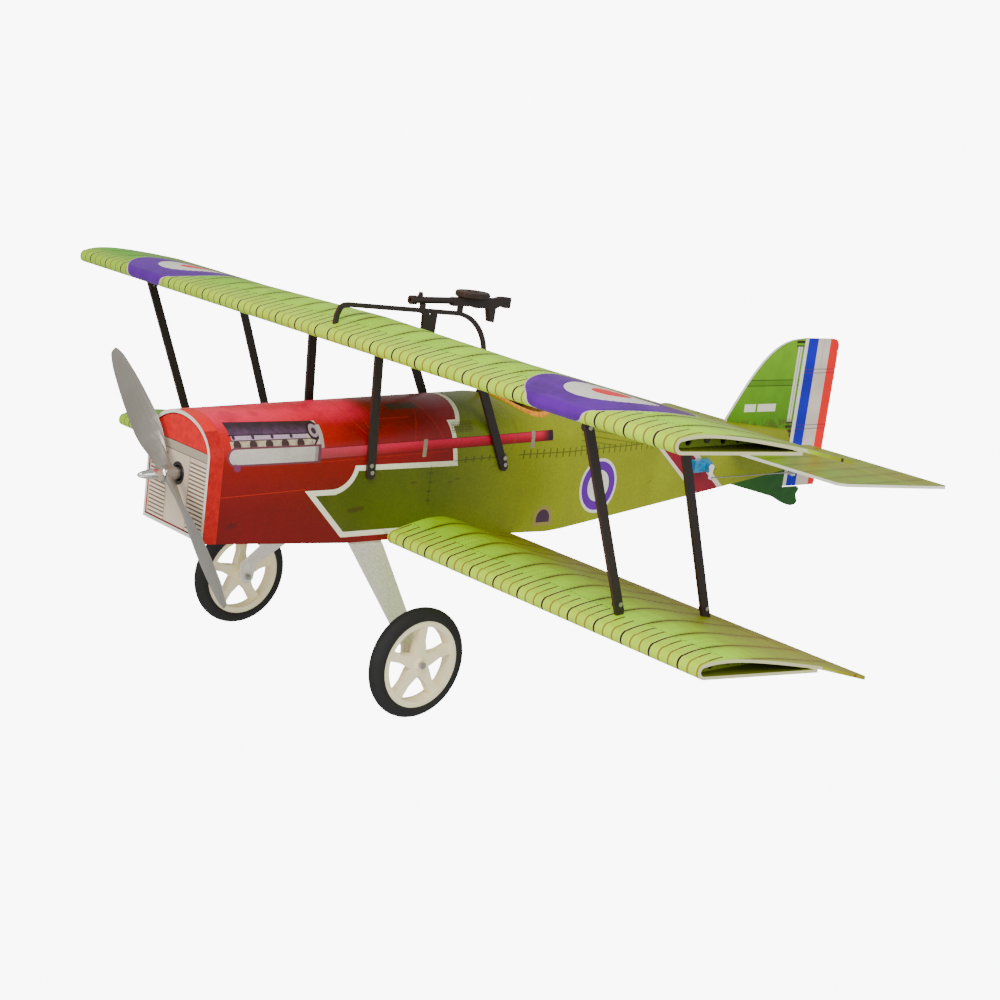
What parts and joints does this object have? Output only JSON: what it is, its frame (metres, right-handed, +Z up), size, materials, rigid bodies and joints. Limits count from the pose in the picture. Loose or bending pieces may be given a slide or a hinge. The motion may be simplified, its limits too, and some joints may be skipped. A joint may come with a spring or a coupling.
{
  "type": "model biplane",
  "caption": "Foam-sheet model biplane with electric propeller, hinged tail and ailerons, spoked wheels on a bent strap, and wood struts.",
  "frame": {"origin": "on the ground under the middle of the bounding box, standing on two wheels and the tail skid", "axes": "+X to the left wing tip, +Y towards the tail, +Z up"},
  "size_m": [0.91, 0.8398, 0.3181],
  "materials": {
    "olive_foam": "printed foam, satin film",
    "red_foam": "printed foam, satin film",
    "grey_foam": "printed foam",
    "tan_trim": "padded trim",
    "green_foam": "printed foam, satin film",
    "fin_green_foam": "printed foam",
    "dark_green_foam": "printed foam",
    "striped_foam": "printed foam",
    "plain_wood": "laser-cut plywood",
    "carbon_tube": "carbon tube",
    "black_wood": "dark stained plywood",
    "steel": "plated",
    "bare_aluminium": "brushed",
    "copper_motor": "wound copper",
    "dark_metal": "satin",
    "battery_wrap": "shrink wrap",
    "blue_plastic": "moulded",
    "grey_plastic": "moulded, warm grey",
    "bright_nut": "polished",
    "ivory_plastic": "moulded",
    "black_rubber": "rubber",
    "white_plastic": "moulded"
  },
  "bodies": {
    "airframe": {"radiator_plate": "grey_foam", "cowl_deck": "red_foam", "cockpit_deck": "olive_foam", "rear_deck": "olive_foam", "cockpit_coaming": "tan_trim", "side_panel_left": "olive_foam", "side_panel_right": "olive_foam", "belly_panel": "red_foam", "formers": "plain_wood", "upper_wing_left": "green_foam", "upper_wing_right": "green_foam", "lower_wing_left": "green_foam", "lower_wing_right": "green_foam", "wing_ribs": "plain_wood", "wing_spars": "carbon_tube", "outer_struts_left": "black_wood", "outer_struts_right": "black_wood", "cabane_struts_left": "black_wood", "cabane_struts_right": "black_wood", "strut_tabs": "black_wood", "strut_screws": "steel", "gun_rail": "black_wood", "gun_body": "black_wood", "gun_drum": "black_wood", "fin": "fin_green_foam", "ventral_fin": "dark_green_foam", "tailplane": "green_foam", "gear_strap": "bare_aluminium", "axle_bolts": "steel", "motor_stator": "copper_motor", "battery": "battery_wrap", "rudder_servo": "blue_plastic", "elevator_servo": "blue_plastic", "aileron_servo_left": "blue_plastic", "aileron_servo_right": "blue_plastic"},
    "prop": {"propeller": "grey_plastic", "prop_nut": "bright_nut", "prop_adapter": "steel", "motor_bell": "dark_metal"},
    "wheel_left": {"rim_left": "ivory_plastic", "tyre_left": "black_rubber"},
    "wheel_right": {"rim_right": "ivory_plastic", "tyre_right": "black_rubber"},
    "rudder_surface": {"rudder": "striped_foam", "rudder_horn": "white_plastic"},
    "elevator_surface": {"elevator": "green_foam", "elevator_horn": "white_plastic"},
    "aileron_left_surface": {"aileron_left": "green_foam", "aileron_horn_left": "white_plastic"},
    "aileron_right_surface": {"aileron_right": "green_foam", "aileron_horn_right": "white_plastic"},
    "rudder_servo_arm": {"rudder_arm": "white_plastic"},
    "rudder_pushrod": {"rudder_rod": "steel"},
    "elevator_servo_arm": {"elevator_arm": "white_plastic"},
    "elevator_pushrod": {"elevator_rod": "steel"},
    "aileron_left_servo_arm": {"aileron_arm_left": "white_plastic"},
    "aileron_left_pushrod": {"aileron_rod_left": "steel"},
    "aileron_right_servo_arm": {"aileron_arm_right": "white_plastic"},
    "aileron_right_pushrod": {"aileron_rod_right": "steel"}
  },
  "joints": [
    {"name": "prop_spin", "type": "hinge", "parent": "airframe", "child": "prop", "pos_m": [0, -0.39165, 0.20941], "axis": [0, -0.9829, 0.1839], "continuous": true},
    {"name": "wheel_left_spin", "type": "hinge", "parent": "airframe", "child": "wheel_left", "pos_m": [0.133, -0.25111, 0.047], "axis": [1, 0, 0], "continuous": true},
    {"name": "wheel_right_spin", "type": "hinge", "parent": "airframe", "child": "wheel_right", "pos_m": [-0.133, -0.25111, 0.047], "axis": [1, 0, 0], "continuous": true},
    {"name": "rudder_turn", "type": "hinge", "parent": "airframe", "child": "rudder_surface", "pos_m": [0, 0.35523, 0.10357], "axis": [0, 0.1839, 0.9829], "range_deg": [-25, 25]},
    {"name": "rudder_arm_turn", "type": "hinge", "parent": "airframe", "child": "rudder_servo_arm", "pos_m": [0.02429, 0.18987, 0.08974], "axis": [0.9942, 0.1061, -0.0198], "range_deg": [-25, 25]},
    {"name": "rudder_rod_turn", "type": "hinge", "parent": "rudder_servo_arm", "child": "rudder_pushrod", "pos_m": [0.04039, 0.18974, 0.07959], "axis": [0.9942, 0.1061, -0.0198], "range_deg": [-25, 25]},
    {"name": "elevator_turn", "type": "hinge", "parent": "airframe", "child": "elevator_surface", "pos_m": [0, 0.31761, 0.07653], "axis": [1, 0, 0], "range_deg": [-20, 20]},
    {"name": "elevator_arm_turn", "type": "hinge", "parent": "airframe", "child": "elevator_servo_arm", "pos_m": [-0.02429, 0.18987, 0.08974], "axis": [0.9942, -0.1061, 0.0198], "range_deg": [-20, 20]},
    {"name": "elevator_rod_turn", "type": "hinge", "parent": "elevator_servo_arm", "child": "elevator_pushrod", "pos_m": [-0.04039, 0.18974, 0.07959], "axis": [0.9942, -0.1061, 0.0198], "range_deg": [-20, 20]},
    {"name": "aileron_left_turn", "type": "hinge", "parent": "airframe", "child": "aileron_left_surface", "pos_m": [0.276, -0.09008, 0.09498], "axis": [1, 0, 0], "range_deg": [-20, 20]},
    {"name": "aileron_left_arm_turn", "type": "hinge", "parent": "airframe", "child": "aileron_left_servo_arm", "pos_m": [0.1999, -0.14016, 0.10366], "axis": [1, 0, 0], "range_deg": [-20, 20]},
    {"name": "aileron_left_rod_turn", "type": "hinge", "parent": "aileron_left_servo_arm", "child": "aileron_left_pushrod", "pos_m": [0.2021, -0.14224, 0.09387], "axis": [1, 0, 0], "range_deg": [-20, 20]},
    {"name": "aileron_right_turn", "type": "hinge", "parent": "airframe", "child": "aileron_right_surface", "pos_m": [-0.276, -0.09008, 0.09498], "axis": [1, 0, 0], "range_deg": [-20, 20]},
    {"name": "aileron_right_arm_turn", "type": "hinge", "parent": "airframe", "child": "aileron_right_servo_arm", "pos_m": [-0.1999, -0.14016, 0.10366], "axis": [1, 0, 0], "range_deg": [-20, 20]},
    {"name": "aileron_right_rod_turn", "type": "hinge", "parent": "aileron_right_servo_arm", "child": "aileron_right_pushrod", "pos_m": [-0.2021, -0.14224, 0.09387], "axis": [1, 0, 0], "range_deg": [-20, 20]}
  ],
  "couplings": [
    {"joint": "rudder_arm_turn", "follows": "rudder_turn", "ratio": 1},
    {"joint": "rudder_rod_turn", "follows": "rudder_turn", "ratio": -1},
    {"joint": "elevator_arm_turn", "follows": "elevator_turn", "ratio": 1},
    {"joint": "elevator_rod_turn", "follows": "elevator_turn", "ratio": -1},
    {"joint": "aileron_right_turn", "follows": "aileron_left_turn", "ratio": -1},
    {"joint": "aileron_left_arm_turn", "follows": "aileron_left_turn", "ratio": 1},
    {"joint": "aileron_left_rod_turn", "follows": "aileron_left_turn", "ratio": -1},
    {"joint": "aileron_right_arm_turn", "follows": "aileron_left_turn", "ratio": -1},
    {"joint": "aileron_right_rod_turn", "follows": "aileron_left_turn", "ratio": 1}
  ]
}
